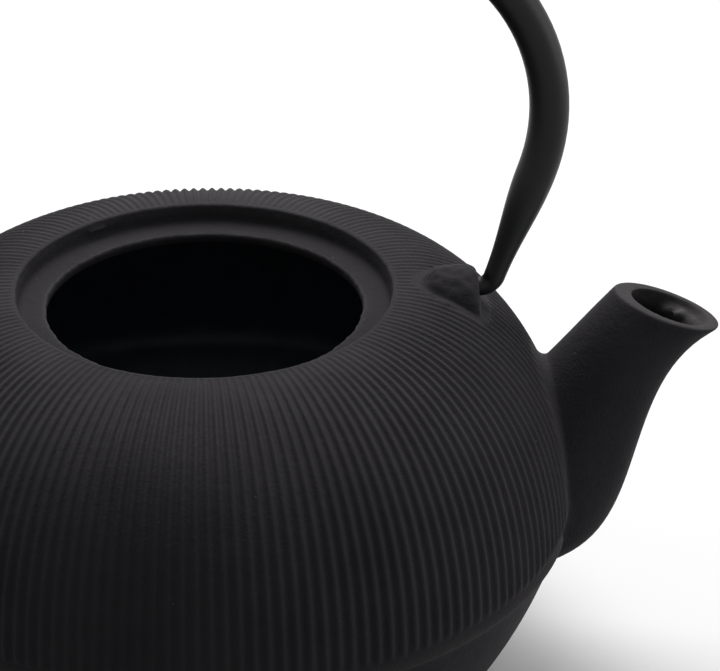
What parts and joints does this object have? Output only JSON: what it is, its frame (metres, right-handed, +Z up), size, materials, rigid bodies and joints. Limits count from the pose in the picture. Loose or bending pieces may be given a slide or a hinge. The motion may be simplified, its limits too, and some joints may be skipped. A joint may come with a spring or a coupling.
{
  "type": "cast iron teapot",
  "caption": "Ribbed round cast-iron teapot with a swinging bail handle, curved spout and open ledged mouth, with its knobbed lid and lift-out steel infuser basket standing beside it.",
  "frame": {"origin": "centre of the pot's flat base, on the table", "axes": "+Z up, +X towards the spout, the bail's pin axis along X"},
  "size_m": [0.2612, 0.2436, 0.187],
  "materials": {
    "cast_iron": "matte black sand-cast iron, baked on, with glossy black enamel inside the pot",
    "bail_steel": "satin black stove enamel on steel",
    "stainless": "brushed stainless steel, finely perforated on the basket's wall and floor",
    "screw_steel": "plain turned steel"
  },
  "bodies": {
    "pot": {"pot_body": "cast_iron"},
    "bail": {"bail_handle": "bail_steel"},
    "lid": {"lid_cover": "cast_iron", "lid_knob": "cast_iron", "knob_screw": "screw_steel"},
    "infuser": {"infuser_rim": "stainless", "infuser_wall": "stainless", "infuser_base": "stainless"}
  },
  "joints": [
    {"name": "bail_swing", "type": "hinge", "parent": "pot", "child": "bail", "pos_m": [0, 0, 0.08995], "axis": [1, 0, 0], "range_deg": [-112, 112]},
    {"name": "lid_lift", "type": "slide", "parent": "pot", "child": "lid", "axis": [0, 0, 1], "range_m": [0, 0.12]},
    {"name": "infuser_lift", "type": "slide", "parent": "pot", "child": "infuser", "axis": [0, 0, 1], "range_m": [0, 0.12]}
  ]
}
